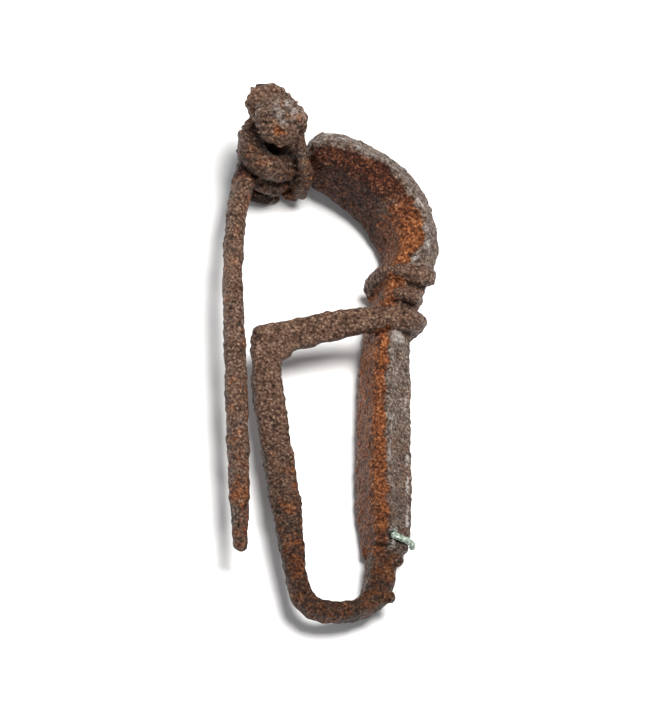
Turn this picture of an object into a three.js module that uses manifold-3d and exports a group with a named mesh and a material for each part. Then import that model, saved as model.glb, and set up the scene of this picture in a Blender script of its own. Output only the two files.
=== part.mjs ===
// An iron bow brooch of the kind with a returned foot, corroded, lying on its side.
// The bow, its foot, the strip bent back from the foot's end, the catch plate and the three wraps round the
// collar are forged in one. The coiled spring, its chord and the pin are one wire. A scrap of a copper alloy
// ring sits on the end of the foot.
//
// The brooch is drawn in its own frame, in millimetres: +Y runs up its long axis from the foot to the head,
// +X points away from the pin, and +Z is the side that faces up when the brooch lies down.

import * as THREE from "three";
import { mergeVertices } from "three/addons/utils/BufferGeometryUtils.js";
import Module from "manifold-3d";

const wasm = await Module();
wasm.setup();

// ---- Driving dimensions ----

// The bow from the head, over the arch and through the collar, to the end of the foot. Each station gives the
// middle of the section (x, y), its thickness from the inner to the outer face, half its width at the raised
// edge, how far that edge stands from the inner face, and half the width of the outer face.
const BOW_STATIONS = [
  { x: -10.1, y: 25.05, thick: 4.4, half: 3.9, edge: 2.2, flat: 2.2 },
  { x: -6.9, y: 24.7, thick: 5.5, half: 4.2, edge: 2.8, flat: 2.5 },
  { x: -3.3, y: 23.7, thick: 6.3, half: 4.4, edge: 3.4, flat: 2.5 },
  { x: 0.3, y: 21.8, thick: 7.0, half: 4.4, edge: 3.8, flat: 2.5 },
  { x: 3.1, y: 18.2, thick: 6.5, half: 4.4, edge: 3.5, flat: 2.5 },
  { x: 4.4, y: 13.6, thick: 5.8, half: 4.3, edge: 3.1, flat: 2.5 },
  { x: 3.3, y: 9.6, thick: 5.4, half: 3.7, edge: 2.4, flat: 2.5 },
  { x: 2.1, y: 5.2, thick: 5.1, half: 3.5, edge: 2.1, flat: 2.6 },
  { x: 1.0, y: 0.4, thick: 5.0, half: 3.5, edge: 1.9, flat: 2.2 },
  { x: 0.7, y: -9.5, thick: 5.6, half: 3.6, edge: 2.0, flat: 2.2 },
  { x: 0.6, y: -22.0, thick: 5.9, half: 3.6, edge: 2.1, flat: 2.2 },
  { x: 1.0, y: -30.9, thick: 5.0, half: 3.2, edge: 1.8, flat: 1.9 },
];
const BOW_CORNER = 1.2; // radius of the rounding between the inner face and the sides
const ARC_MIDDLE = 1 - Math.SQRT1_2; // how far the middle of a quarter circle is from each of its tangents
const EDGE_LIP = 0.22; // how far the raised edge stands out from the side
const BOW_STEP = 2.0; // spacing of the sections along the bow
const COLLAR = { above: 6, middle: 7, below: 8 }; // the bow's stations round the collar

// The strip from the end of the foot, round the bottom bend and up the catch plate. Each station gives its
// middle (x, y), half the width in the plane of the brooch, half the depth across it, and how far the plate
// is twisted to face the pin, in degrees.
const STRIP_STATIONS = [
  { x: 0.6, y: -28.6, half: 1.7, deep: 2.2, twist: 0 },
  { x: 0.0, y: -32.6, half: 1.75, deep: 1.9, twist: 0 },
  { x: -0.6, y: -36.4, half: 1.75, deep: 1.65, twist: 0 },
  { x: -2.9, y: -38.9, half: 1.25, deep: 1.45, twist: 0 },
  { x: -5.8, y: -40.0, half: 1.2, deep: 1.3, twist: 0 },
  { x: -8.7, y: -40.3, half: 1.3, deep: 1.25, twist: 0 },
  { x: -10.5, y: -38.8, half: 1.5, deep: 1.15, twist: -4 },
  { x: -11.4, y: -35.2, half: 1.4, deep: 1.05, twist: -10 },
  { x: -12.8, y: -25.0, half: 1.9, deep: 0.95, twist: -22 },
  { x: -14.5, y: -14.0, half: 1.9, deep: 0.95, twist: -22 },
  { x: -15.3, y: -7.0, half: 1.85, deep: 0.95, twist: -16 },
  { x: -15.5, y: -2.2, half: 1.85, deep: 1.0, twist: -8 },
];
const STRIP_STEP = 1.9; // spacing of the sections along the strip and the bar

// The bar from the top corner of the catch plate to the collar, rising to pass over its upper side.
const BAR_STATIONS = [
  { x: -17.0, y: -3.9, z: 0.0, half: 2.0, deep: 1.0 },
  { x: -12.6, y: -2.5, z: 0.5, half: 2.05, deep: 1.05 },
  { x: -8.0, y: -0.9, z: 1.6, half: 1.9, deep: 1.0 },
  { x: -3.7, y: 0.4, z: 3.1, half: 1.7, deep: 1.05 },
  { x: -0.9, y: 0.8, z: 4.2, half: 1.6, deep: 1.15 },
];

// The channel folded behind the catch plate, where the pin's point was caught. It runs between two of the
// strip's stations.
const CHANNEL = { first: 8, last: 10, gap: 1.9, wall: 0.9, lip: 2.6 };

// Three wraps of the strip's end round the collar, a row for each quarter turn. It starts over the inner face
// and climbs round the upper side, the outer face and the lower side. Each row gives the height, how far the
// wire stands out from the collar beyond resting on it, and the radius of the wire. The rust has swallowed
// the passes over the inner and the outer face in the middle.
const WRAP_ROWS = [
  { y: 0.7, out: 0.0, wire: 1.4 },
  { y: 1.2, out: 0.0, wire: 1.45 },
  { y: 2.3, out: -0.5, wire: 1.1 },
  { y: 3.2, out: -0.5, wire: 0.95 },
  { y: 4.0, out: -1.1, wire: 0.85 },
  { y: 4.8, out: -0.1, wire: 0.95 },
  { y: 5.5, out: -2.6, wire: 0.9 },
  { y: 7.2, out: -0.7, wire: 0.9 },
  { y: 8.5, out: 0.4, wire: 1.05 },
  { y: 8.0, out: 0.0, wire: 1.25 },
  { y: 9.3, out: -0.2, wire: 1.3 },
];
const WRAP_REST = 0.6; // from the collar's surface to the middle of a wire that rests on it
const WRAP_SQUARENESS = 0.65; // 1 would be an ellipse, less is nearer the collar's own box shape
const WRAP_START = 0.15; // turns from the middle of the inner face to where the bar has become the wire
const WRAP_END = 2.36; // turns from there to the wire's end
const WRAP_PART = 0.25; // turns swept at a time, because neighbouring passes of the wire touch
const WRAP_STUB = [0.3, -0.1, -0.3]; // how the wire's end sticks out past the last wrap

// Small lumps: on the foot's end, on its shank, on the foot just below the collar, beside the first wrap, and
// in the inner corner between the bar and the catch plate.
const KNOBS = [
  { x: 1.5, y: -32.0, z: 1.5, size: [1.0, 0.85, 0.9] },
  { x: 0.75, y: -37.0, z: 0.9, size: [0.9, 0.8, 0.8] },
  { x: 1.1, y: -1.1, z: 3.0, size: [1.0, 1.1, 0.6] },
  { x: 4.3, y: 2.2, z: 2.2, size: [1.2, 0.9, 1.1] },
  { x: -13.6, y: -4.5, z: 0.3, size: [1.7, 1.5, 0.8] },
];

// The spring, from its upper end to the lower. Each row gives the turn, the middle of the coil there, the
// radius of the wire's middle round it, and the radius of the rusted wire. The second coil is pushed out of
// line.
const COIL_ROWS = [
  { turn: 0.0, x: -16.0, y: 24.8, z: 6.9, coil: 1.8, wire: 1.65 },
  { turn: 1.0, x: -16.0, y: 25.0, z: 5.6, coil: 1.8, wire: 1.7 },
  { turn: 1.4, x: -16.6, y: 28.2, z: 4.2, coil: 1.65, wire: 1.6 },
  { turn: 2.0, x: -16.6, y: 28.6, z: 3.1, coil: 1.65, wire: 1.6 },
  { turn: 2.5, x: -15.7, y: 23.8, z: 1.6, coil: 2.6, wire: 1.75 },
  { turn: 3.5, x: -14.5, y: 23.5, z: -1.2, coil: 2.6, wire: 1.75 },
  { turn: 4.4, x: -13.9, y: 23.4, z: -4.8, coil: 2.1, wire: 1.55 },
  { turn: 5.0, x: -13.5, y: 23.5, z: -6.1, coil: 1.9, wire: 1.35 },
];
const COIL_START = -0.6; // angle of the wire at turn 0, in radians
const COIL_PART = 0.5; // turns swept at a time, because neighbouring coils touch
const PART_OVERLAP = 0.03; // turns by which one part runs on into the next
const PART_SHARES = [0, 0.2, 0.4, 0.6, 0.8, 1]; // shares of a part at which its path is laid
const CHORD_RADII = [0.9, 0.85, 0.8, 0.85, 1.05, 1.15, 1.2, 1.15];
const CHORD_LINE = [
  [-14.6, 24.4, 5.8],
  [-13.1, 23.7, 5.2],
  [-12.3, 22.8, 4.1],
  [-11.3, 21.8, 2.4],
  [-10.15, 21.55, 0.2],
  [-9.8, 21.25, -2.6],
  [-9.4, 21.95, -4.6],
  [-10.9, 22.5, -5.6],
];

// The pin, from the third coil to its blunt end.
const PIN_LINE = [
  [-16.9, 23.4, -1.4],
  [-17.8, 20.3, -1.5],
  [-18.6, 16.6, -1.3],
  [-19.4, 10.5, -0.8],
  [-19.75, 4.0, -0.3],
  [-19.6, -4.0, 0.0],
  [-19.3, -12.6, 0.0],
  [-19.0, -21.3, 0.0],
  [-18.8, -28.3, 0.0],
  [-18.65, -34.0, 0.0],
];
const PIN_RADII = [1.4, 1.4, 1.32, 1.3, 1.32, 1.4, 1.45, 1.4, 1.2, 0.85];

// The scrap of ring on the foot's end.
const RING = { y: -29.6, radius: 0.42, gap: 0.3 };

// How the brooch lies: turned from its own frame by these angles, then sunk until small flats form.
const LYING_PITCH = 2.2; // degrees about X
const LYING_ROLL = 8.6; // degrees about Y
const FLAT_DEPTH = 0.3; // how much of the lowest points is worn flat

const IRON = { color: 0x5e4436, roughness: 0.85, metalness: 0.35 };
const IRON_WIRE = { color: 0x5a443a, roughness: 0.8, metalness: 0.4 };
const COPPER_ALLOY = { color: 0x9fb8a4, roughness: 0.9, metalness: 0.1 };

// How finely each wire is cut into facets.
const WRAP_FACETS = { step: 1.2, sides: 8 };
const COIL_FACETS = { step: 1.5, sides: 9 };
const CHORD_FACETS = { step: 1.2, sides: 8 };
const PIN_FACETS = { step: 1.5, sides: 10 };
const RING_FACETS = { step: 0.5, sides: 8 };

// ---- Swept forms ----

const UP = new THREE.Vector3(0, 0, 1);
const END_STOPS = [0, 0.18, 0.55]; // shares of an end's rounding at which it gets a section
const END_LEAST = 0.35; // size of the section at a rounded end's very tip

// Slow swelling of the rusted surface, in millimetres.
function swell(x, y, z) {
  return (
    0.07 * Math.sin(0.9 * y + 0.7 * z) +
    0.05 * Math.sin(1.7 * x - 1.3 * y + 2.1 * z) +
    0.04 * Math.sin(2.3 * y + 1.9 * x)
  );
}

// Distances along a path at which it gets a section, closer together at rounded ends.
function stationsAlong(length, step, rounding) {
  const ends = END_STOPS.map((share) => share * rounding);
  const count = Math.max(1, Math.round((length - 2 * rounding) / step));
  const middle = Array.from(
    { length: count + 1 },
    (_, i) => rounding + ((length - 2 * rounding) * i) / count,
  );
  if (rounding <= 0) return middle;
  return [...ends, ...middle, ...ends.map((distance) => length - distance).reverse()];
}

// The size of a section that is `distance` from a rounded end.
function endSize(distance, rounding) {
  if (rounding <= 0 || distance >= rounding) return 1;
  const share = 1 - distance / rounding;
  return Math.max(END_LEAST, Math.sqrt(1 - share * share));
}

// One value of the stations' rows at curve parameter t, easing from row to row.
function between(rows, key, t) {
  const place = t * (rows.length - 1);
  const row = Math.min(rows.length - 2, Math.floor(place));
  const ease = THREE.MathUtils.smoothstep(place - row, 0, 1);
  return THREE.MathUtils.lerp(rows[row][key], rows[row + 1][key], ease);
}

// One value of the spring's rows at a turn.
function atTurn(key, turn) {
  const begun = COIL_ROWS.slice(0, -1).findLastIndex((each) => each.turn <= turn);
  const row = Math.max(0, begun);
  const [here, next] = [COIL_ROWS[row], COIL_ROWS[row + 1]];
  return THREE.MathUtils.lerp(here[key], next[key], THREE.MathUtils.smoothstep(turn, here.turn, next.turn));
}

// The place of a point of a section's outline.
function spotOn(section, across, up) {
  return section.middle.clone().addScaledVector(section.across, across).addScaledVector(section.up, up);
}

// A closed solid through a row of sections. Each section has a middle, two directions and an outline of
// points in those directions, counter-clockwise round the way the sections follow each other.
function sweep(sections) {
  const sides = sections[0].outline.length;
  const corner = (i) => [Math.cos((2 * Math.PI * i) / sides), Math.sin((2 * Math.PI * i) / sides)];
  const round = new THREE.Shape(Array.from({ length: sides }, (_, i) => new THREE.Vector2(...corner(i))));
  const last = sections.length - 1;
  const geometry = new THREE.ExtrudeGeometry(round, { depth: last, steps: last, bevelEnabled: false });
  const spots = geometry.attributes.position;
  for (let v = 0; v < spots.count; v++) {
    const section = sections[Math.round(spots.getZ(v))];
    const turn = Math.atan2(spots.getY(v), spots.getX(v)) / (2 * Math.PI);
    const [across, up] = section.outline[Math.round((turn + 1) * sides) % sides];
    const spot = spotOn(section, across, up);
    spots.setXYZ(v, spot.x, spot.y, spot.z);
  }
  return geometry;
}

// An outline stretched out from its middle by the swelling of the surface there.
function swollen(section) {
  section.outline = section.outline.map(([across, up]) => {
    const spot = spotOn(section, across, up);
    const grow = 1 + swell(spot.x, spot.y, spot.z) / Math.max(1, Math.hypot(across, up));
    return [across * grow, up * grow];
  });
  return section;
}

// A path through rows of stations that stays nearly flat: its sections stand upright.
function flatSweep(rows, step, rounding, outlineAt) {
  const line = new THREE.CatmullRomCurve3(
    rows.map((row) => new THREE.Vector3(row.x, row.y, row.z ?? 0)),
    false,
    "centripetal",
  );
  const length = line.getLength();
  return sweep(
    stationsAlong(length, step, rounding).map((distance) => {
      const t = line.getUtoTmapping(Math.min(1, distance / length));
      const ahead = line.getTangent(t);
      const twist = THREE.MathUtils.degToRad(rows[0].twist === undefined ? 0 : between(rows, "twist", t));
      const across = new THREE.Vector3().crossVectors(UP, ahead).normalize().applyAxisAngle(ahead, twist);
      const up = new THREE.Vector3().crossVectors(ahead, across);
      const size = endSize(Math.min(distance, length - distance), rounding);
      const outline = outlineAt(t).map(([a, u]) => [a * size, u * size]);
      return swollen({ middle: line.getPoint(t), across, up, outline });
    }),
  );
}

// A round wire along any path, its radius given by rows of radii along it.
function wire(points, radii, { step, sides }, rounding = 0) {
  const line = new THREE.CatmullRomCurve3(points, false, "centripetal");
  const length = line.getLength();
  const rows = radii.map((radius) => ({ radius }));
  let across = new THREE.Vector3(0.31, 0.52, 0.79);
  return sweep(
    stationsAlong(length, step, rounding).map((distance) => {
      const t = line.getUtoTmapping(Math.min(1, distance / length));
      const ahead = line.getTangent(t);
      across = across.clone().addScaledVector(ahead, -across.dot(ahead)).normalize();
      const up = new THREE.Vector3().crossVectors(ahead, across);
      const radius = between(rows, "radius", t) * endSize(Math.min(distance, length - distance), rounding);
      const outline = Array.from({ length: sides }, (_, i) => {
        const angle = (2 * Math.PI * i) / sides;
        return [radius * Math.cos(angle), radius * Math.sin(angle)];
      });
      return swollen({ middle: line.getPoint(t), across, up, outline });
    }),
  );
}

// A rounded box outline, half by deep.
function softBox(half, deep, sides = 10, squareness = 0.6) {
  return Array.from({ length: sides }, (_, i) => {
    const angle = (2 * Math.PI * (i + 0.5)) / sides;
    const bend = (value) => Math.sign(value) * Math.abs(value) ** squareness;
    return [half * bend(Math.cos(angle)), deep * bend(Math.sin(angle))];
  });
}

function knob({ x, y, z, size }) {
  return new THREE.SphereGeometry(1, 10, 6).scale(...size).translate(x, y, z);
}

function box(low, high) {
  const size = high.map((value, i) => value - low[i]);
  return new THREE.BoxGeometry(...size).translate(...high.map((value, i) => (value + low[i]) / 2));
}

// ---- Joining and cutting ----

function solidOf(geometry) {
  const bare = new THREE.BufferGeometry();
  bare.setAttribute("position", geometry.attributes.position.clone());
  if (geometry.index) bare.setIndex(geometry.index.clone());
  const merged = mergeVertices(bare, 1e-4);
  const corners = merged.index.array;
  const kept = [];
  for (let i = 0; i < corners.length; i += 3) {
    const [a, b, c] = corners.slice(i, i + 3);
    if (a !== b && b !== c && c !== a) kept.push(a, b, c);
  }
  const vertProperties = new Float32Array(merged.attributes.position.array);
  return new wasm.Manifold(new wasm.Mesh({ numProp: 3, vertProperties, triVerts: new Uint32Array(kept) }));
}

// One body of several that overlap, without the slivers that touching coils leave beside it.
function join(geometries) {
  const whole = geometries.map(solidOf).reduce((sum, piece) => sum.add(piece));
  return whole.decompose().reduce((largest, body) => (body.volume() > largest.volume() ? body : largest));
}

function geometryOf(solid) {
  const { vertProperties, triVerts } = solid.getMesh();
  const geometry = new THREE.BufferGeometry();
  geometry.setAttribute("position", new THREE.BufferAttribute(new Float32Array(vertProperties), 3));
  geometry.setIndex(new THREE.BufferAttribute(new Uint32Array(triVerts), 1));
  geometry.computeVertexNormals();
  return geometry;
}

// ---- The bow, forged in one ----

// The bow's faceted section, seen with its inner face at the left: a flat inner face, sides that rise to a
// raised edge, and chamfers from there to a narrower outer face.
function bowOutline(t) {
  const thick = between(BOW_STATIONS, "thick", t);
  const half = between(BOW_STATIONS, "half", t);
  const edge = between(BOW_STATIONS, "edge", t);
  const flat = between(BOW_STATIONS, "flat", t);
  const upper = [
    [thick, flat * 0.55],
    [thick - 0.25, flat],
    [edge + 0.35, half - 0.1],
    [edge, half + EDGE_LIP],
    [Math.max(edge - 0.45, BOW_CORNER), half - 0.05],
    [BOW_CORNER * ARC_MIDDLE, half - BOW_CORNER * ARC_MIDDLE],
    [0, half - BOW_CORNER],
  ];
  const lower = upper.map(([out, up]) => [out, -up]).reverse();
  return [...upper, ...lower].map(([out, up]) => [out - thick / 2, up]);
}

function stripOutline(rows) {
  return (t) => softBox(between(rows, "half", t), between(rows, "deep", t));
}

// The middle of the bow's section at a height on the collar.
function collarMiddle(y) {
  const [upper, lower] = [BOW_STATIONS[COLLAR.above], BOW_STATIONS[COLLAR.below]];
  return THREE.MathUtils.mapLinear(y, lower.y, upper.y, lower.x, upper.x);
}

// Where the wire's middle is after so many turns from the bar.
function wrapSpot(turns) {
  const collar = BOW_STATIONS[COLLAR.middle];
  const bend = (value) => Math.sign(value) * Math.abs(value) ** WRAP_SQUARENESS;
  const angle = 2 * Math.PI * turns;
  const place = (4 * turns) / (WRAP_ROWS.length - 1);
  const stand = WRAP_REST + between(WRAP_ROWS, "out", place);
  const y = between(WRAP_ROWS, "y", place);
  const x = collarMiddle(y) - (collar.thick / 2 + stand) * bend(Math.cos(angle));
  return new THREE.Vector3(x, y, (collar.half + stand) * bend(Math.sin(angle)));
}

function wrapRadius(turns) {
  return between(WRAP_ROWS, "wire", (4 * turns) / (WRAP_ROWS.length - 1));
}

function wraps() {
  const pieces = Array.from({ length: Math.ceil((WRAP_END - WRAP_START) / WRAP_PART) }, (_, i) => {
    const start = WRAP_START + i * WRAP_PART - PART_OVERLAP;
    const stop = Math.min(WRAP_END, WRAP_START + (i + 1) * WRAP_PART);
    const places = PART_SHARES.map((share) => THREE.MathUtils.lerp(start, stop, share));
    return wire(places.map(wrapSpot), places.map(wrapRadius), WRAP_FACETS);
  });
  const end = wrapSpot(WRAP_END);
  const tip = end.clone().add(new THREE.Vector3(...WRAP_STUB));
  const radius = wrapRadius(WRAP_END);
  pieces.push(wire([wrapSpot(WRAP_END - 0.1), end, tip], [radius, radius, radius], WRAP_FACETS, 0.6));
  return pieces;
}

// The channel behind the catch plate: a wall along the plate's edge and a lip that faces the plate's back.
function channel() {
  const rows = STRIP_STATIONS.slice(CHANNEL.first, CHANNEL.last + 1);
  const depth = rows[0].deep + CHANNEL.gap + CHANNEL.wall;
  const edge = (t) => between(rows, "half", t) - 0.1;
  const moved = (outline, across, up) => outline.map(([a, u]) => [a + across, u + up]);
  const wall = (t) => moved(softBox(CHANNEL.wall / 2, depth / 2, 8), edge(t) - CHANNEL.wall / 2, -depth / 2);
  const lip = (t) =>
    moved(softBox(CHANNEL.lip / 2, CHANNEL.wall / 2, 8), edge(t) - CHANNEL.lip / 2, CHANNEL.wall / 2 - depth);
  return [wall, lip].map((outlineAt) => flatSweep(rows, 3, 0, outlineAt));
}

function bow() {
  return join([
    flatSweep(BOW_STATIONS, BOW_STEP, 1.2, bowOutline),
    flatSweep(STRIP_STATIONS, STRIP_STEP, 0.7, stripOutline(STRIP_STATIONS)),
    flatSweep(BAR_STATIONS, STRIP_STEP, 0.7, stripOutline(BAR_STATIONS)),
    ...wraps(),
    ...channel(),
    ...KNOBS.map(knob),
  ]);
}

// ---- The spring and pin, one wire ----

function coilSpot(turn) {
  const radius = atTurn("coil", turn);
  const angle = 2 * Math.PI * turn + COIL_START;
  return new THREE.Vector3(
    atTurn("x", turn) + radius * Math.cos(angle),
    atTurn("y", turn) + radius * Math.sin(angle),
    atTurn("z", turn),
  );
}

function coils() {
  const turns = COIL_ROWS.at(-1).turn;
  return Array.from({ length: Math.round(turns / COIL_PART) }, (_, i) => {
    const start = Math.max(0, i * COIL_PART - PART_OVERLAP);
    const places = PART_SHARES.map((share) => THREE.MathUtils.lerp(start, (i + 1) * COIL_PART, share));
    const radii = places.map((turn) => atTurn("wire", turn));
    return wire(places.map(coilSpot), radii, COIL_FACETS);
  });
}

function springAndPin() {
  const spots = (line) => line.map((spot) => new THREE.Vector3(...spot));
  return join([
    ...coils(),
    wire(spots(CHORD_LINE), CHORD_RADII, CHORD_FACETS, 0.5),
    wire(spots(PIN_LINE), PIN_RADII, PIN_FACETS, 0.7),
  ]);
}

// ---- The scrap of ring ----

// It follows the foot's upper edge and chamfer. `thicken` is added to its wire all round, for the seat cut to
// hold it.
function ringScrap(thicken = 0) {
  const { x, thick, half, edge, flat } = BOW_STATIONS.at(-1);
  const inner = x - thick / 2;
  const points = [
    [inner + edge - 0.3, half + 0.15],
    [inner + edge + 0.5, half + 0.1],
    [inner + (edge + thick) / 2, (half + flat) / 2 + 0.35],
    [inner + thick - 0.1, flat + 0.2],
    [inner + thick + 0.3, flat - 0.9],
  ].map(([px, pz]) => new THREE.Vector3(px, RING.y, pz));
  for (const [end, next] of [[points[0], points[1]], [points.at(-1), points.at(-2)]]) {
    end.addScaledVector(next.clone().sub(end).normalize(), -thicken);
  }
  return wire(points, [RING.radius + thicken, RING.radius + thicken], RING_FACETS, 0.35);
}

// ---- The brooch, lying down ----

function addPiece(group, name, solid, finish) {
  const mesh = new THREE.Mesh(geometryOf(solid), new THREE.MeshStandardMaterial(finish));
  mesh.name = name;
  group.add(mesh);
}

const ring = solidOf(ringScrap());
const seat = solidOf(ringScrap(RING.gap));
const iron = bow().subtract(seat);
const spring = springAndPin();

const lying = new THREE.Group();
lying.rotation.set(THREE.MathUtils.degToRad(LYING_PITCH), THREE.MathUtils.degToRad(LYING_ROLL), 0);

// The floor, seen from the brooch's own frame, cuts the small flats.
const rough = new THREE.Group();
addPiece(rough, "rough_bow", iron, IRON);
addPiece(rough, "rough_spring", spring, IRON);
rough.rotation.copy(lying.rotation);
const reach = new THREE.Box3().setFromObject(rough, true);
const floorHeight = reach.min.z + FLAT_DEPTH;
const floor = box([-60, -60, floorHeight - 10], [60, 60, floorHeight]);
rough.updateMatrixWorld();
floor.applyMatrix4(rough.matrixWorld.clone().invert());
const ground = solidOf(floor);

addPiece(lying, "bow", iron.subtract(ground), IRON);
addPiece(lying, "spring_pin", spring.subtract(ground), IRON_WIRE);
addPiece(lying, "foot_ring_scrap", ring, COPPER_ALLOY);

const lain = new THREE.Box3().setFromObject(lying, true);
const middle = lain.getCenter(new THREE.Vector3());
lying.position.set(-middle.x, -middle.y, -lain.min.z);

const brooch = new THREE.Group();
brooch.add(lying);
export default brooch;
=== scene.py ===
import math
from itertools import product

import bmesh
import bpy
import numpy as np
from mathutils import Matrix, Vector


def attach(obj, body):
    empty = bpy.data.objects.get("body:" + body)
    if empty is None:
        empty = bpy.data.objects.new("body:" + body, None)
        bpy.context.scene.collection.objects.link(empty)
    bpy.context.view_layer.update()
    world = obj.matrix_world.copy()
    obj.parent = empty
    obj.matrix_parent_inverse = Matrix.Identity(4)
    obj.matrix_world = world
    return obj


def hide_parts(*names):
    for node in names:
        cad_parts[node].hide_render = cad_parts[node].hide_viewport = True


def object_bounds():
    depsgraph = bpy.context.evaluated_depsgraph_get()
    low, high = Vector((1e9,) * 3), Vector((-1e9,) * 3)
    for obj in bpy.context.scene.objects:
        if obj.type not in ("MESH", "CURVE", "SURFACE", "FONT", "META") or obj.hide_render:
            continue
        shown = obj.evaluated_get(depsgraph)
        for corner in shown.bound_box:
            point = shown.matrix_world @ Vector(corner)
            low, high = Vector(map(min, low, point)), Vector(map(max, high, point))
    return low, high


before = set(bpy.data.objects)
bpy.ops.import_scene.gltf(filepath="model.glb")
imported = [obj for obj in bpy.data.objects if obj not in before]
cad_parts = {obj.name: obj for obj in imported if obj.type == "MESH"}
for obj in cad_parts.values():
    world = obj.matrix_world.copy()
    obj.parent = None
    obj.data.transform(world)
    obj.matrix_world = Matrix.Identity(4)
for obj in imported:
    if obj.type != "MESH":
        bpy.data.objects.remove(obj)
cad_low, cad_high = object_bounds()

# ---- The brooch's own frame ----
# Relief and colour are placed in the frame that the brooch was drawn in, in millimetres: +Y runs up its long
# axis to the head, +X points away from the pin, and +Z is the side that faces up when it lies down.

DRAWN_LENGTH = 72.437
UNIT = (cad_high.y - cad_low.y) / DRAWN_LENGTH  # metres to a drawn millimetre
LYING_PITCH = math.radians(2.2)
LYING_ROLL = math.radians(8.6)
ORIGIN = Vector((6.801, 5.322, 4.411))
FLOOR_MIDDLE = Vector(((cad_low.x + cad_high.x) / 2, (cad_low.y + cad_high.y) / 2, cad_low.z))

lying = Matrix.Rotation(LYING_PITCH, 4, "X") @ Matrix.Rotation(LYING_ROLL, 4, "Y")
to_row = Matrix.Translation(FLOOR_MIDDLE) @ Matrix.Scale(UNIT, 4) @ Matrix.Translation(ORIGIN) @ lying
to_brooch = to_row.inverted()

# ---- Steady noise ----

CELL_FACTORS = (73856093, 19349663, 83492791)
SEED_FACTOR = 374761393
MIXERS = ((13, 1274126177), (15, 668265263))
LAST_SHIFT = 14
SEEDS_BETWEEN = 7  # from one octave to the next
GRAIN_SEED = 5
POSITIVE = 0x7FFFFFFF
NUMBERS = 0xFFFFFF
NOISE_GAIN = 1.6
FRACTAL_OCTAVES = 3
FRACTAL_GAIN = 1.5
NO_GRAIN = 9.0  # farther than any grain can be


def hashed(cell, seed):
    """A steady number from 0 to 1 for each whole-number cell."""
    mixed = seed * SEED_FACTOR
    for axis, factor in enumerate(CELL_FACTORS):
        mixed = mixed ^ cell[..., axis] * factor
    for shift, mixer in MIXERS:
        mixed = ((mixed ^ (mixed >> shift)) * mixer) & POSITIVE
    return ((mixed ^ (mixed >> LAST_SHIFT)) & NUMBERS) / NUMBERS


def noise(points, size, seed):
    """Smooth noise from about -1 to 1, with lumps about `size` across."""
    place = points / size
    cell = np.floor(place).astype(np.int64)
    part = place - cell
    ease = part**3 * (part * (part * 6 - 15) + 10)
    total = np.zeros(len(points))
    for corner in product((0, 1), repeat=3):
        there = cell + np.array(corner)
        weight = np.prod(np.where(corner, ease, 1 - ease), axis=1)
        slope = 0
        for axis in range(3):
            slope = slope + (hashed(there, seed + axis) * 2 - 1) * (part[:, axis] - corner[axis])
        total += weight * slope
    return total * NOISE_GAIN


def fractal(points, size, seed):
    """Noise with finer and finer noise on it."""
    octaves = (noise(points, size / 2**i, seed + SEEDS_BETWEEN * i) / 2**i for i in range(FRACTAL_OCTAVES))
    return sum(octaves) / FRACTAL_GAIN


def noises(points, parts):
    """Several noises added together, each given by its strength, its size and its seed."""
    return sum(strength * noise(points, size, seed) for strength, size, seed in parts)


def grains(points, size, seed):
    """How far the nearest of many scattered grains is, in grain sizes, and a steady number for that grain."""
    place = points / size
    cell = np.floor(place).astype(np.int64)
    nearest = np.full(len(points), NO_GRAIN)
    number = np.zeros(len(points))
    for neighbour in product((-1, 0, 1), repeat=3):
        there = cell + np.array(neighbour)
        middle = there + np.stack([hashed(there, seed + axis) for axis in range(3)], axis=1)
        away = np.linalg.norm(middle - place, axis=1)
        closer = away < nearest
        nearest = np.where(closer, away, nearest)
        number = np.where(closer, hashed(there, seed + GRAIN_SEED), number)
    return nearest, number


# ---- Masks, from 0 to 1 ----


def step(low, high, value):
    """0 below low, 1 above high, and smooth between."""
    share = np.clip((value - low) / (high - low), 0, 1)
    return share * share * (3 - 2 * share)


def patches(points, size, seed, low, high, level=0.0):
    """1 in scattered patches about `size` across and 0 between them."""
    return step(low, high, noise(points, size, seed) + level)


def band(away, width):
    """1 where `away` is 0, falling off over about `width` to either side."""
    return np.exp(-((away / width) ** 2))


def spot_mask(points, spots):
    """1 at the middle of each round spot (x, y, z, radius) and 0 from its edge on."""
    total = np.zeros(len(points))
    for x, y, z, radius in spots:
        away = np.linalg.norm(points - np.array((x, y, z)), axis=1) / radius
        total = np.maximum(total, 1 - step(0.0, 1.0, away))
    return total


def line_mask(points, line, width):
    """1 on a line through points and 0 from `width` away on."""
    total = np.zeros(len(points))
    for start, stop in zip(line[:-1], line[1:]):
        a, b = np.array(start, float), np.array(stop, float)
        share = np.clip((points - a) @ (b - a) / ((b - a) @ (b - a)), 0, 1)
        away = np.linalg.norm(points - a - share[:, None] * (b - a), axis=1) / width
        total = np.maximum(total, 1 - step(0.0, 1.0, away))
    return total


# ---- The bow's line ----

# From the head over the arch to the end of the foot: the bow's middle (x, y), its thickness, half its width
# and how far the raised edge stands from the inner face.
BOW_LINE = np.array([
    (-10.1, 25.05, 4.4, 3.9, 2.2),
    (-6.9, 24.7, 5.5, 4.2, 2.8),
    (-3.3, 23.7, 6.3, 4.4, 3.4),
    (0.3, 21.8, 7.0, 4.4, 3.8),
    (3.1, 18.2, 6.5, 4.4, 3.5),
    (4.4, 13.6, 5.8, 4.3, 3.1),
    (3.3, 9.6, 5.4, 3.7, 2.4),
    (2.1, 5.2, 5.1, 3.5, 2.1),
    (1.0, 0.4, 5.0, 3.5, 1.9),
    (0.7, -9.5, 5.6, 3.6, 2.0),
    (0.6, -22.0, 5.9, 3.6, 2.1),
    (1.0, -30.9, 5.0, 3.2, 1.8),
])
ROWS_BETWEEN = 30  # rows made from each row of the bow's line to the next
LEAST_GAP = 1e-4
POINTS_AT_ONCE = 20000


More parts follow.
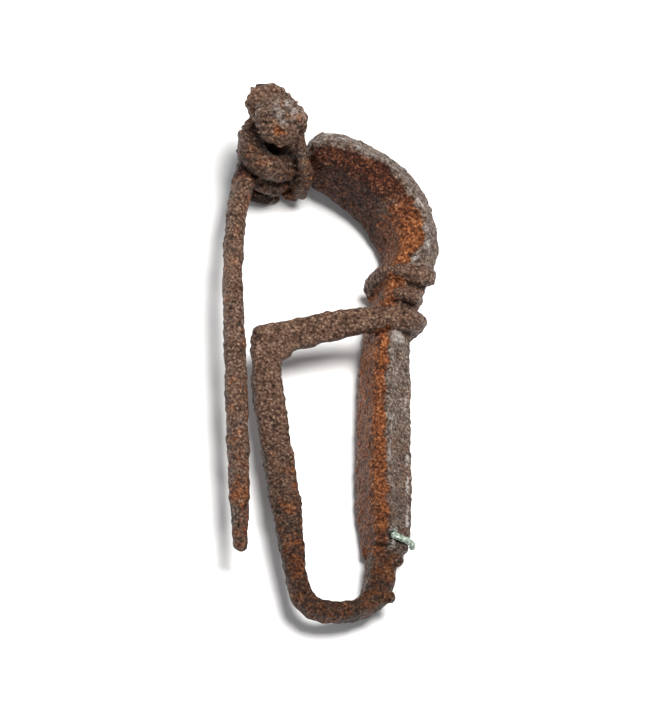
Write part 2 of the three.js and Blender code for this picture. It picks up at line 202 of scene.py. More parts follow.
def smooth_line(rows):
    """Many rows on a smooth curve through the given rows, whose first two numbers are the place."""
    spots = rows[:, :2]
    ends = [2 * spots[0] - spots[1], *spots, 2 * spots[-1] - spots[-2]]
    made = []
    for i in range(len(rows) - 1):
        a, b, c, d = ends[i : i + 4]
        gaps = [max(LEAST_GAP, np.linalg.norm(q - p) ** 0.5) for p, q in ((a, b), (b, c), (c, d))]
        leave = ((b - a) / gaps[0] - (c - a) / (gaps[0] + gaps[1]) + (c - b) / gaps[1]) * gaps[1]
        arrive = ((c - b) / gaps[1] - (d - b) / (gaps[1] + gaps[2]) + (d - c) / gaps[2]) * gaps[1]
        for t in np.arange(ROWS_BETWEEN) / ROWS_BETWEEN:
            place = (2 * t**3 - 3 * t**2 + 1) * b + (t**3 - 2 * t**2 + t) * leave
            place = place + (3 * t**2 - 2 * t**3) * c + (t**3 - t**2) * arrive
            ease = t * t * (3 - 2 * t)
            made.append([*place, *(rows[i, 2:] * (1 - ease) + rows[i + 1, 2:] * ease)])
    made.append([*rows[-1]])
    return np.array(made)


def along_bow(points):
    """How far along the bow each point is, how far out from the inner face, and the bow's sizes there."""
    line = smooth_line(BOW_LINE)
    ahead = np.gradient(line[:, :2], axis=0)
    pace = np.linalg.norm(ahead, axis=1)
    ahead /= pace[:, None]
    distance = np.concatenate([[0], np.cumsum(np.linalg.norm(np.diff(line[:, :2], axis=0), axis=1))])
    outward = np.stack([-ahead[:, 1], ahead[:, 0]], axis=1)
    nearest = np.concatenate([
        np.argmin(((some[:, None, :2] - line[None, :, :2]) ** 2).sum(2), axis=1)
        for some in np.array_split(points, max(1, len(points) // POINTS_AT_ONCE))
    ])
    offset = points[:, :2] - line[nearest, :2]
    run = distance[nearest] + (offset * ahead[nearest]).sum(1)
    out = (offset * outward[nearest]).sum(1) + line[nearest, 2] / 2
    return run, out, line[nearest, 2], line[nearest, 3], line[nearest, 4]


# ---- Fine skins over the CAD's solids ----

EASE_IN = 0.55  # how far each pass of smoothing moves a point towards its neighbours' mean
EASE_BACK = -0.575  # how far the pass after it moves the point back, to keep the form's size
BULGE_PASSES = 14
HOLLOW_DEPTHS = (0.04, 0.2)  # depths between which a hollow is darkened with painted shade
CREST_HEIGHTS = (0.05, 0.2)  # heights between which a crest wears bright


def smoothed(points, edges, times, keep_size=True):
    """Points eased towards their neighbours' mean, without shrinking the form when keep_size is set."""
    degree = np.bincount(edges.ravel(), minlength=len(points)).astype(float)
    for i in range(times * (2 if keep_size else 1)):
        share = EASE_IN if i % 2 == 0 or not keep_size else EASE_BACK
        total = np.empty_like(points)
        for axis in range(3):
            total[:, axis] = np.bincount(edges[:, 0], points[edges[:, 1], axis], len(points))
            total[:, axis] += np.bincount(edges[:, 1], points[edges[:, 0], axis], len(points))
        points = points + share * (total / degree[:, None] - points)
    return points


def numbers(collection, key, width, kind=np.float32):
    """One property of all of a collection's items, as rows of `width` numbers."""
    held = np.empty(len(collection) * width, kind)
    collection.foreach_get(key, held)
    return held.reshape(-1, width)


class Skin:
    """A fine, even mesh over one CAD node, held in the brooch's own frame while it is worked on."""

    def __init__(self, node, name, voxel, ease, lumps=()):
        self.node = node
        self.piece = bpy.data.objects.new(name, self.form(lumps))
        bpy.context.scene.collection.objects.link(self.piece)
        fine = self.piece.modifiers.new("fine", "REMESH")
        fine.mode = "VOXEL"
        fine.voxel_size = voxel
        fine.use_smooth_shade = True
        shown = self.piece.evaluated_get(bpy.context.evaluated_depsgraph_get())
        self.mesh = bpy.data.meshes.new_from_object(shown)
        self.piece.modifiers.clear()
        self.piece.data = self.mesh
        self.mesh.name = name
        self.mesh.materials.clear()
        self.edges = numbers(self.mesh.edges, "vertices", 2, np.int32)
        self.points = smoothed(numbers(self.mesh.vertices, "co", 3).astype(float), self.edges, ease)
        self.refresh()

    def form(self, lumps):
        """The node's own mesh in the brooch's frame, with any round lumps (middle, size) added."""
        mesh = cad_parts[self.node].data.copy()
        mesh.transform(to_brooch)
        form = bmesh.new()
        form.from_mesh(mesh)
        for middle, size in lumps:
            stretch = Matrix.Translation(middle) @ Matrix.Diagonal((*size, 1))
            bmesh.ops.create_icosphere(form, subdivisions=2, radius=1, matrix=stretch)
        form.to_mesh(mesh)
        form.free()
        return mesh

    def refresh(self):
        """Puts the points into the mesh and reads the new normals."""
        self.mesh.vertices.foreach_set("co", self.points.astype(np.float32).ravel())
        self.mesh.update()
        self.normals = numbers(self.mesh.vertex_normals, "vector", 3).astype(float)

    def push(self, height):
        """Moves the surface out by a height at each point."""
        self.points = self.points + self.normals * height[:, None]
        self.refresh()

    def bulge(self, passes=BULGE_PASSES):
        """How far each point stands out from the surface round it: above 0 on crests, below 0 in hollows."""
        around = smoothed(self.points, self.edges, passes, keep_size=False)
        return ((self.points - around) * self.normals).sum(1)

    def paint(self, **layers):
        """Keeps a number from 0 to 1 at each point for each of the material's layers."""
        for name, values in layers.items():
            held = self.mesh.attributes.new(name, "FLOAT", "POINT")
            spread = np.broadcast_to(values, len(self.points))
            held.data.foreach_set("value", np.clip(spread, 0, 1).astype(np.float32))

    def place(self, slot, material):
        """Puts the finished skin in the row's frame, inside the CAD's box, and has it stand for its node."""
        self.mesh.transform(to_row)
        inside = np.clip(numbers(self.mesh.vertices, "co", 3), np.array(cad_low), np.array(cad_high))
        self.mesh.vertices.foreach_set("co", inside.ravel())
        self.mesh.update()
        self.mesh.materials.append(material)
        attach(self.piece, "root")
        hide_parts(self.node)


# ---- The rust's own relief ----

# Sizes and heights in millimetres. A grain's reach is in grain sizes, and only the grains whose number is
# in the chosen range become pits or blisters. Every layer has a seed of its own, counted from the skin's.
LUMPS = {"size": 2.6, "height": 0.14}
UNEVENNESS = {"size": 0.9, "height": 0.12, "seed": 20}
GRIT = {"size": 0.62, "height": 0.15, "seed": 30, "reach": (0.1, 0.75), "level": 0.3}
PITS = {"size": 2.1, "height": -0.30, "seed": 40, "reach": (0.0, 0.26), "chosen": (0.5, 0.8)}
BLISTERS = {"size": 1.5, "height": 0.16, "seed": 50, "reach": (0.05, 0.34), "chosen": (0.6, 0.85)}
LOW_PLACES = (-38.0, -6.0)  # places along the brooch between which painted shade darkens the iron and it turns redder


def crust(points, seed, amount=1.0):
    """The height of the rust: slow lumps, a fine unevenness, grit, pits and blisters."""
    height = LUMPS["height"] * fractal(points, LUMPS["size"], seed)
    height += UNEVENNESS["height"] * noise(points, UNEVENNESS["size"], seed + UNEVENNESS["seed"])
    near, number = grains(points, GRIT["size"], seed + GRIT["seed"])
    height += GRIT["height"] * (1 - step(*GRIT["reach"], near)) * (number - GRIT["level"])
    for form in (PITS, BLISTERS):
        near, number = grains(points, form["size"], seed + form["seed"])
        height += form["height"] * (1 - step(*form["reach"], near)) * step(*form["chosen"], number)
    return height * amount


def lowness(points):
    """0 from the catch's corner up, and 1 at the bottom bend."""
    return 1 - step(*LOW_PLACES, points[:, 1])


# ---- The bow ----

BOW_VOXEL = 0.2
BOW_EASE = 12
BOW_SEED = 11
ARCH_END = 25.5  # distances along the bow
FOOT_START = 35.5
FOOT_END = 65.0
ARCH_FADE = 1.0
FOOT_FADE = 1.0
END_FADE = 1.5
PAST_THICKNESS = (0.2, 0.8)  # how far outside the bow's own section a point belongs to the wraps or the strip
PAST_WIDTH = (0.5, 1.1)
UPPER_SIDE = (1.2, 2.4)  # heights at which the side that faces up begins
EDGE_WAVER = ((0.45, 2.4, 51), (0.2, 0.8, 52))
RIDGE = {"height": 0.34, "on_foot": 0.75, "beyond_edge": 0.1, "width": 0.42}
RIDGE_JAGS = {"least": 0.3, "more": 0.7, "begin": (-0.2, 0.35), "noises": ((1.0, 1.5, 61), (0.4, 0.7, 62))}
FURROW = {"depth": 0.2, "on_foot": 0.5, "within_edge": 0.75, "width": 0.34}
SCALLOPS = {"depth": 0.28, "width": 0.8}
# Patches: their size in millimetres, their seed, the values between which they begin and, for some, a level.
FURROW_PATCHES = (1.9, 63, -0.3, 0.3)
SCALLOP_PATCHES = (1.7, 64, 0.0, 0.5)
BARE_PATCHES = (1.1, 65, 0.0, 0.6, 0.1)
GREEN_PATCHES = (0.8, 95, -0.5, 0.1)
# Noises that colour the bow: their size in millimetres and their seed.
BOW_GRIT = (0.8, 82)
BOW_RUST_PATCHES = (3.2, 81)
BOW_GREY_PATCHES = (2.0, 91)
BOSS = [(0.84, -1.3, 3.6, 1.5)]
BOSS_HEIGHT = 0.22
CATCH_BLISTERS = [(-14.9, -14.2, 1.2, 1.1), (-13.6, -20.6, 1.1, 1.0), (-15.6, -9.0, 1.2, 0.9)]
CATCH_BLISTER_HEIGHT = 0.3
HEAD_PIT = [(-10.4, 25.6, 2.6), (-9.6, 25.0, 3.4), (-8.8, 24.9, 3.9)]
HEAD_PIT_DEPTH = 0.45
HEAD_PIT_WIDTH = 0.7
HEAD_GLINTS = [(-9.3, 26.5, 1.2, 0.8), (-8.2, 26.4, 2.6, 0.8), (-6.5, 25.9, 3.4, 0.7)]
# Lines of painted highlight along the foot's raised edge.
FOOT_HIGHLIGHT_LINES = [
    [(2.45, -9.3, 2.7), (2.4, -11.0, 2.7)],
    [(2.6, -17.5, 2.6), (2.65, -18.6, 2.6)],
    [(2.75, -20.2, 2.6), (2.5, -22.6, 2.6)],
    [(2.8, -24.6, 2.5), (2.6, -27.2, 2.4)],
]
FOOT_HIGHLIGHT_WIDTH = 0.42
GREEN_SPOTS = [(0.6, -29.3, 3.4, 1.0), (3.1, -29.1, 2.3, 1.1), (3.6, -29.9, 1.2, 0.9)]
GREEN_STRENGTH = 1.4

# How much of each colour the parts of the bow get. Pairs are the values between which a colour fades.
BOW_RUST = {"from_head": (7, 18), "plain": 0.75, "gritty": 0.5, "core": 0.8, "patches": 0.28, "strip": 0.6}
BOW_GREY = {"plain": 0.6, "gritty": 0.5, "lost_below": 0.45, "patches": 0.3}
# The dark red layer is rust with painted shade: on the arch's inner face near the head and along its inner
# edge, and on the foot's inner face near the floor.
ARCH_MAROON = {"from_head": (6, 20), "level": 1.2, "inner_edge": 0.5, "patches": 0.4}
ARCH_EDGE_MAROON = {"out": (0.3, 1.2), "heights": (-3.0, 1.0), "sway": 0.3}
FOOT_MAROON = {"level": 0.8, "out": (0.2, 0.9), "heights": (-3.4, -1.4), "noises": ((1.2, 1.5, 83),)}
BOW_SHADE = {"strip": 0.62, "foot": 0.3}
# Shares of bare metal colour, with painted highlights, on the foot's ridge and on the boss.
BOW_METAL_AND_HIGHLIGHT = {"foot": 0.8, "boss": 0.9}
INNER_MARGIN = 0.5  # how far short of the raised edge the inner colours end
INNER_FADE = (-0.3, 0.3)
CORE_OUT = (1.2, 2.6)


class BowPlace:
    """Which part of the bow each point is on, found before any relief moves it."""

    def __init__(self, points):
        self.run, self.out, thick, half, self.edge = along_bow(points)
        past_thickness = np.abs(self.out - thick / 2) - thick / 2
        past_width = np.abs(points[:, 2]) - half
        self.bow = (1 - step(*PAST_THICKNESS, past_thickness)) * (1 - step(*PAST_WIDTH, past_width))
        self.bow *= 1 - step(FOOT_END, FOOT_END + END_FADE, self.run)
        self.arch = self.bow * (1 - step(ARCH_END - ARCH_FADE, ARCH_END, self.run))
        self.foot = self.bow * step(FOOT_START - FOOT_FADE, FOOT_START, self.run)
        self.upper = step(*UPPER_SIDE, points[:, 2])
        self.past_edge = self.out - self.edge
        self.waver = noises(points, EDGE_WAVER)
        jags = step(*RIDGE_JAGS["begin"], noises(points, RIDGE_JAGS["noises"]))
        self.jagged = RIDGE_JAGS["least"] + RIDGE_JAGS["more"] * jags
        from_ridge = self.past_edge - RIDGE["beyond_edge"] + self.waver
        self.ridge = band(from_ridge, RIDGE["width"]) * self.upper


def bow_relief(points, at):
    """The bow's own relief: the ridge and the furrow along its edge, scallops, boss, blisters and pit."""
    from_furrow = at.past_edge + FURROW["within_edge"] + at.waver
    furrow = band(from_furrow, FURROW["width"]) * at.upper * patches(points, *FURROW_PATCHES)
    scallops = band(at.out, SCALLOPS["width"]) * at.foot * at.upper * patches(points, *SCALLOP_PATCHES)
    height = RIDGE["height"] * at.ridge * at.jagged * (at.arch + RIDGE["on_foot"] * at.foot)
    height -= FURROW["depth"] * furrow * (at.arch + FURROW["on_foot"] * at.foot)
    height -= SCALLOPS["depth"] * scallops
    height += BOSS_HEIGHT * spot_mask(points, BOSS)
    height += CATCH_BLISTER_HEIGHT * spot_mask(points, CATCH_BLISTERS)
    height -= HEAD_PIT_DEPTH * line_mask(points, HEAD_PIT, HEAD_PIT_WIDTH)
    return height


def bow_maroon(points, at, inner, patchy):
    """Dark red rust deepened with painted shade: the arch's inner face near the head, and the foot's inner
    face near the floor.
    """
    inner_edge = 1 - step(*ARCH_EDGE_MAROON["out"], at.out + ARCH_EDGE_MAROON["sway"] * patchy)
    inner_edge = inner_edge * (1 - step(*ARCH_EDGE_MAROON["heights"], points[:, 2] + patchy))
    near_head = ARCH_MAROON["level"] - step(*ARCH_MAROON["from_head"], at.run)
    near_head = near_head + ARCH_MAROON["inner_edge"] * inner_edge + ARCH_MAROON["patches"] * patchy
    wavy_height = points[:, 2] + noises(points, FOOT_MAROON["noises"])
    near_floor = 1 - step(*FOOT_MAROON["heights"], wavy_height)
    inner_face = 1 - step(*FOOT_MAROON["out"], at.out)
    maroon = at.arch * inner * np.clip(near_head, 0, 1)
    return maroon + FOOT_MAROON["level"] * at.foot * inner_face * near_floor


def bow_silver(points, at):
    """Bare bright metal and painted highlights: the ridge, the boss, the highlight lines along the foot and
    the glints on the head.
    """
    silver = at.ridge * at.jagged * (at.arch + BOW_METAL_AND_HIGHLIGHT["foot"] * at.foot)
    silver = silver * patches(points, *BARE_PATCHES)
    silver = np.maximum(silver, BOW_METAL_AND_HIGHLIGHT["boss"] * spot_mask(points, BOSS))
    for mark in FOOT_HIGHLIGHT_LINES:
        silver = np.maximum(silver, line_mask(points, mark, FOOT_HIGHLIGHT_WIDTH))
    return np.maximum(silver, spot_mask(points, HEAD_GLINTS))


def bow_skin():
    skin = Skin("bow", "bow_iron", BOW_VOXEL, BOW_EASE)
    at = BowPlace(skin.points)
    skin.push(bow_relief(skin.points, at))
    skin.push(crust(skin.points, BOW_SEED))
    p = skin.points
    bulge = skin.bulge()
    low = lowness(p)
    grit = 0.5 + 0.5 * noise(p, *BOW_GRIT)
    patchy = fractal(p, *BOW_RUST_PATCHES)
    strip = 1 - np.clip(at.bow, 0, 1)
    inner = 1 - step(*INNER_FADE, at.past_edge + INNER_MARGIN + at.waver)
    core = at.bow * (1 - at.arch) * (1 - at.foot) * (1 - step(*CORE_OUT, at.out))
    rust = at.arch * inner * step(*BOW_RUST["from_head"], at.run) + at.foot * inner
    rust = rust * (BOW_RUST["plain"] + BOW_RUST["gritty"] * grit) + BOW_RUST["core"] * core
    rust = rust + BOW_RUST["patches"] * patchy + BOW_RUST["strip"] * strip * low
    grey = (at.arch + at.foot) * (1 - inner) * (BOW_GREY["plain"] + BOW_GREY["gritty"] * grit)
    grey = grey * (1 - BOW_GREY["lost_below"] * low) + BOW_GREY["patches"] * fractal(p, *BOW_GREY_PATCHES)
    green = GREEN_STRENGTH * spot_mask(p, GREEN_SPOTS) * patches(p, *GREEN_PATCHES)
    skin.paint(
        rust=rust,
        grey=grey,
        maroon=bow_maroon(p, at, inner, patchy),
        shade=BOW_SHADE["strip"] * strip * low + BOW_SHADE["foot"] * at.foot * low,
        silver=bow_silver(p, at),
        # Hollows take painted shade and crests wear bright.
        hollow=step(*HOLLOW_DEPTHS, -bulge),
        crest=step(*CREST_HEIGHTS, bulge),
        green=green,
    )
    return skin


# ---- The spring and the pin ----

SPRING_VOXEL = 0.15
SPRING_EASE = 18
SPRING_SEED = 311
SPRING_FILL = [((-10.6, 22.4, -2.3), (0.9, 0.9, 1.5))]  # lumps that close the dark gap between the chord and the coils
PIN_TOP = (18.5, 21.0)  # heights along the brooch at which the pin runs into the coils
LAMINATIONS = {"height": 0.14, "spacing": 0.95}
LAMINATIONS_RISE = (-0.19, 0.87, 0.46)  # the direction in which they follow one another
LAMINATIONS_WAVER = ((0.5, 2.2, 341),)
LAMINATIONS_DRIFT = ((2.0, 1.6, 342),)
LAMINATION_PATCHES = (2.0, 343, -0.4, 0.4)
DOME_PATCHES = (1.2, 392, -0.1, 0.6, 0.3)
SPRING_RUST_PATCHES = (2.5, 381)
SPRING_GREY_PATCHES = (2.0, 391)
# The top coil's dome: its crust is smoothed, and the grey and bare metal colour added there are partly a
# painted highlight.
DOME = [(-16.0, 25.3, 7.9, 2.6)]
DOME_SMOOTHNESS = 0.6
ORANGE_HOLLOW = [(-16.3, 22.9, 7.1, 1.5)]
ORANGE_HOLLOW_DEPTH = 0.55
SPRING_SLITS = [
    [(-19.0, 23.0, 6.5), (-17.9, 24.3, 7.3)],
    [(-18.9, 27.0, 4.2), (-18.6, 26.0, 4.4)],
]
SLIT_DEPTH = 0.6
SLIT_WIDTH = 0.5
SPRING_CREASES = [
    [(-19.0, 27.8, 4.6), (-17.3, 29.0, 5.2)],
    [(-18.6, 27.2, 5.0), (-17.0, 28.2, 5.6), (-15.4, 28.2, 5.8)],
]
CREASE_HEIGHT = 0.2
CREASE_WIDTH = 0.4
CREASE_GLINT_WIDTH = 0.35
SPRING_CRUST = 0.8
CHORD_SIDE = (-13.2, -12.2)  # how far towards the bow the chord begins
DEEP_HEIGHTS = (-1.0, 4.5)

# How much of each colour the parts of the spring and the pin get.
SPRING_RUST = {"level": 0.15, "patches": 0.5, "deep": 0.35, "hollow": 1.2, "low": 0.45}
SPRING_GREY = {"level": 0.3, "patches": 0.5, "dome": 0.4, "deep": 0.5, "chord": 0.2}
SPRING_MAROON = {"heights": (-3.5, 4.0), "lost_on_chord": 0.6, "patches": 0.35}
SPRING_SHADE = {"deep": 0.5, "lost_on_chord": 0.5, "low": 0.3}
SPRING_METAL_AND_HIGHLIGHT = {"dome": 0.75, "creases": 0.8}


def spring_relief(points, coil, dome):
    """The spring's own relief: thin layers of rust, the hollow, the slits and the creases."""
    rise = sum(share * points[:, axis] for axis, share in enumerate(LAMINATIONS_RISE))
    rise = rise + noises(points, LAMINATIONS_WAVER)
    layers = np.sin(2 * np.pi * rise / LAMINATIONS["spacing"] + noises(points, LAMINATIONS_DRIFT))
    height = LAMINATIONS["height"] * layers * coil * (1 - dome) * patches(points, *LAMINATION_PATCHES)
    height -= ORANGE_HOLLOW_DEPTH * spot_mask(points, ORANGE_HOLLOW)
    for slit in SPRING_SLITS:
        height -= SLIT_DEPTH * line_mask(points, slit, SLIT_WIDTH)
    for crease in SPRING_CREASES:
        height += CREASE_HEIGHT * line_mask(points, crease, CREASE_WIDTH)
    return height


def spring_skin():
    skin = Skin("spring_pin", "spring_and_pin", SPRING_VOXEL, SPRING_EASE, SPRING_FILL)
    coil = step(*PIN_TOP, skin.points[:, 1])
    dome = spot_mask(skin.points, DOME)
    skin.push(spring_relief(skin.points, coil, dome))
    skin.push(crust(skin.points, SPRING_SEED, SPRING_CRUST) * (1 - DOME_SMOOTHNESS * dome))
    p = skin.points
    bulge = skin.bulge()
    low = lowness(p)
    patchy = fractal(p, *SPRING_RUST_PATCHES)
    deep = coil * (1 - step(*DEEP_HEIGHTS, p[:, 2]))
    chord = step(*CHORD_SIDE, p[:, 0]) * coil
    rust = SPRING_RUST["level"] + SPRING_RUST["patches"] * patchy + SPRING_RUST["deep"] * deep
    rust = rust + SPRING_RUST["hollow"] * spot_mask(p, ORANGE_HOLLOW) + SPRING_RUST["low"] * low
    grey = SPRING_GREY["level"] + SPRING_GREY["patches"] * fractal(p, *SPRING_GREY_PATCHES)
    grey = grey + SPRING_GREY["dome"] * dome - SPRING_GREY["deep"] * deep + SPRING_GREY["chord"] * chord
    # Dark red rust with painted shade on the lower coils.
    maroon = coil * (1 - step(*SPRING_MAROON["heights"], p[:, 2]))
    maroon = maroon * (1 - SPRING_MAROON["lost_on_chord"] * chord) + SPRING_MAROON["patches"] * patchy * coil
    shade = SPRING_SHADE["deep"] * deep * (1 - SPRING_SHADE["lost_on_chord"] * chord)
    # Bare metal colour and painted highlights on the dome and along the creases.
    silver = SPRING_METAL_AND_HIGHLIGHT["dome"] * dome * patches(p, *DOME_PATCHES)
    for crease in SPRING_CREASES:
        glint = SPRING_METAL_AND_HIGHLIGHT["creases"] * line_mask(p, crease, CREASE_GLINT_WIDTH)
        silver = np.maximum(silver, glint)
    skin.paint(
        rust=rust,
        grey=grey,
        maroon=maroon,
        shade=shade + SPRING_SHADE["low"] * low,
        silver=silver,
        # Hollows take painted shade and crests wear bright.
        hollow=step(*HOLLOW_DEPTHS, -bulge),
        crest=step(*CREST_HEIGHTS, bulge),
        green=0.0,
    )
    return skin


# ---- The scrap of ring ----

RING_VOXEL = 0.07
RING_EASE = 6
RING_CRUST = {"size": 0.7, "height": 0.05, "seed": 611}
RING_STAIN = {"size": 1.0, "share": 0.3, "seed": 621}
RING_BULGE_PASSES = 8
# Bulges between which the ring's hollows take painted shade and its crests wear bright.
RING_BULGES = (0.01, 0.06)


def ring_skin():
    skin = Skin("foot_ring_scrap", "ring_scrap", RING_VOXEL, RING_EASE)
    skin.push(RING_CRUST["height"] * fractal(skin.points, RING_CRUST["size"], RING_CRUST["seed"]))
    bulge = skin.bulge(RING_BULGE_PASSES)
    stain = RING_STAIN["share"] * fractal(skin.points, RING_STAIN["size"], RING_STAIN["seed"])
    skin.paint(
        rust=stain,
        grey=stain,
        maroon=0.0,
        shade=0.0,
        silver=0.0,
        hollow=step(*RING_BULGES, -bulge),
        crest=step(*RING_BULGES, bulge),
        green=1.0,
    )
    return skin


# ---- Materials ----

COLOUR_SOCKETS = (6, 7, 2)  # a Mix node's two colour inputs and its colour output


class Graph:
    """Shorthand for building one material's nodes."""

    def __init__(self, name):
        self.material = bpy.data.materials.new(name)
        self.material.use_nodes = True
        self.tree = self.material.node_tree
        self.tree.nodes.clear()
        self.place = self.add("ShaderNodeTexCoord").outputs["Object"]

    def add(self, kind, **settings):
        node = self.tree.nodes.new(kind)
        for key, value in settings.items():
            setattr(node, key, value)
        return node

    def feed(self, socket, value):
        if isinstance(value, bpy.types.NodeSocket):
            self.tree.links.new(value, socket)
        else:
            socket.default_value = value

    def layer(self, name):
        return self.add("ShaderNodeAttribute", attribute_name=name).outputs["Fac"]

    def noise(self, size, detail, rough, warp):
        """Noise whose lumps are about `size` millimetres across."""
        node = self.add("ShaderNodeTexNoise")
        self.feed(node.inputs["Vector"], self.place)
        self.feed(node.inputs["Scale"], 1 / (size * UNIT))
        self.feed(node.inputs["Detail"], detail)
        self.feed(node.inputs["Roughness"], rough)
        self.feed(node.inputs["Distortion"], warp)
        return node.outputs["Fac"]

    def grains(self, size):
        """Distance to the nearest of many grains about `size` millimetres apart."""
        node = self.add("ShaderNodeTexVoronoi", feature="F1")
        self.feed(node.inputs["Vector"], self.place)
        self.feed(node.inputs["Scale"], 1 / (size * UNIT))
        return node.outputs["Distance"]

    def math(self, kind, a, b):
        node = self.add("ShaderNodeMath", operation=kind)
        self.feed(node.inputs[0], a)
        self.feed(node.inputs[1], b)
        return node.outputs[0]

    def times(self, a, b):
        return self.math("MULTIPLY", a, b)

    def plus(self, a, b):
        return self.math("ADD", a, b)

    def minus(self, a, b):
        return self.math("SUBTRACT", a, b)

    def spread(self, value, low, high, to_low=0.0, to_high=1.0):
        """The value from low to high, laid smoothly over to_low to to_high."""
        node = self.add("ShaderNodeMapRange", interpolation_type="SMOOTHSTEP")
        for key, number in (("Value", value), ("From Min", low), ("From Max", high)):
            self.feed(node.inputs[key], number)
        self.feed(node.inputs["To Min"], to_low)
        self.feed(node.inputs["To Max"], to_high)
        return node.outputs["Result"]

    def ramp(self, value, stops):
        node = self.add("ShaderNodeValToRGB")
        marks = node.color_ramp.elements
        while len(marks) < len(stops):
            marks.new(0.5)
        for mark, (place, colour) in zip(marks, stops):
            mark.position = place
            mark.color = (*colour, 1)
        self.feed(node.inputs["Fac"], value)
        return node.outputs["Color"]

    def blend(self, share, a, b):
        node = self.add("ShaderNodeMix", data_type="RGBA")
        self.feed(node.inputs["Factor"], share)
        first, second, result = COLOUR_SOCKETS
        self.feed(node.inputs[first], a)
        self.feed(node.inputs[second], b)
        return node.outputs[result]


# Each kind of rust, from its darkest tone to its lightest.
BROWN = [
    (0.15, (0.010, 0.005, 0.003)),
    (0.42, (0.075, 0.038, 0.024)),
    (0.6, (0.155, 0.090, 0.060)),
    (0.88, (0.38, 0.26, 0.19)),
]
ORANGE = [
    (0.15, (0.016, 0.004, 0.001)),
    (0.42, (0.105, 0.030, 0.009)),
    (0.6, (0.240, 0.078, 0.024)),
    (0.88, (0.48, 0.22, 0.10)),
]
# Dark red, for rust and for painted shade.
MAROON = [
    (0.15, (0.005, 0.001, 0.000)),
    (0.42, (0.024, 0.006, 0.002)),
    (0.6, (0.085, 0.023, 0.009)),
    (0.88, (0.28, 0.14, 0.08)),
]
GREY = [
    (0.15, (0.016, 0.010, 0.008)),
    (0.42, (0.088, 0.058, 0.043)),
    (0.6, (0.165, 0.122, 0.096)),
    (0.88, (0.42, 0.36, 0.31)),
]
GREEN = [
    (0.15, (0.06, 0.08, 0.06)),
    (0.42, (0.24, 0.31, 0.25)),
    (0.6, (0.50, 0.57, 0.50)),
    (0.88, (0.78, 0.82, 0.76)),
]
# Painted shade for the hollows.
HOLLOW_SHADE_COLOUR = (0.008, 0.003, 0.002, 1)
# Bare metal colour, used for worn crests and for painted highlights.
METAL_AND_HIGHLIGHT_COLOUR = (0.50, 0.46, 0.43, 1)
BLACK = (0.0, 0.0, 0.0, 1)

# Size in millimetres, detail, roughness and warp.
FINE_NOISE = (0.34, 4.0, 0.68, 0.3)
MOTTLE_NOISE = (1.5, 4.0, 0.6, 0.4)
GRAIN_SIZE = 0.42
TONE_SHARES = {"fine": 0.75, "mottle": 0.25, "grain": 0.22}
GRAIN_MIDDLE = 0.45
TONE_MIDDLE = 0.5
TONE_LEVEL = 0.49
TONE_CONTRAST = 1.9
MOTTLE_RANGE = (0.3, 0.7)
# How far the mottling sways a colour's layer, and the values from which it begins and at which it is full.
RUST_SHARE = (0.3, 0.3, 0.85)
GREY_SHARE = (-0.25, 0.35, 0.85)
MAROON_SHARE = (0.2, 0.2, 0.9)
HOLLOW_SHADE_SHARE = 0.7
WORN = {"share": 0.4, "tones": (0.54, 0.7)}
METAL_HIGHLIGHT = {"share": 0.8, "tones": (0.36, 0.54)}
ROUGHNESS = {"tones": (0.35, 0.65), "dull": 0.6, "glossy": 0.32}
DULL_SHEEN = 0.16
BARE_SHEEN = 0.7
BARE_METAL = 0.5
BUMP = {"grain_edge": 0.6, "grain": 0.7, "strength": 1.0, "depth": 0.32}


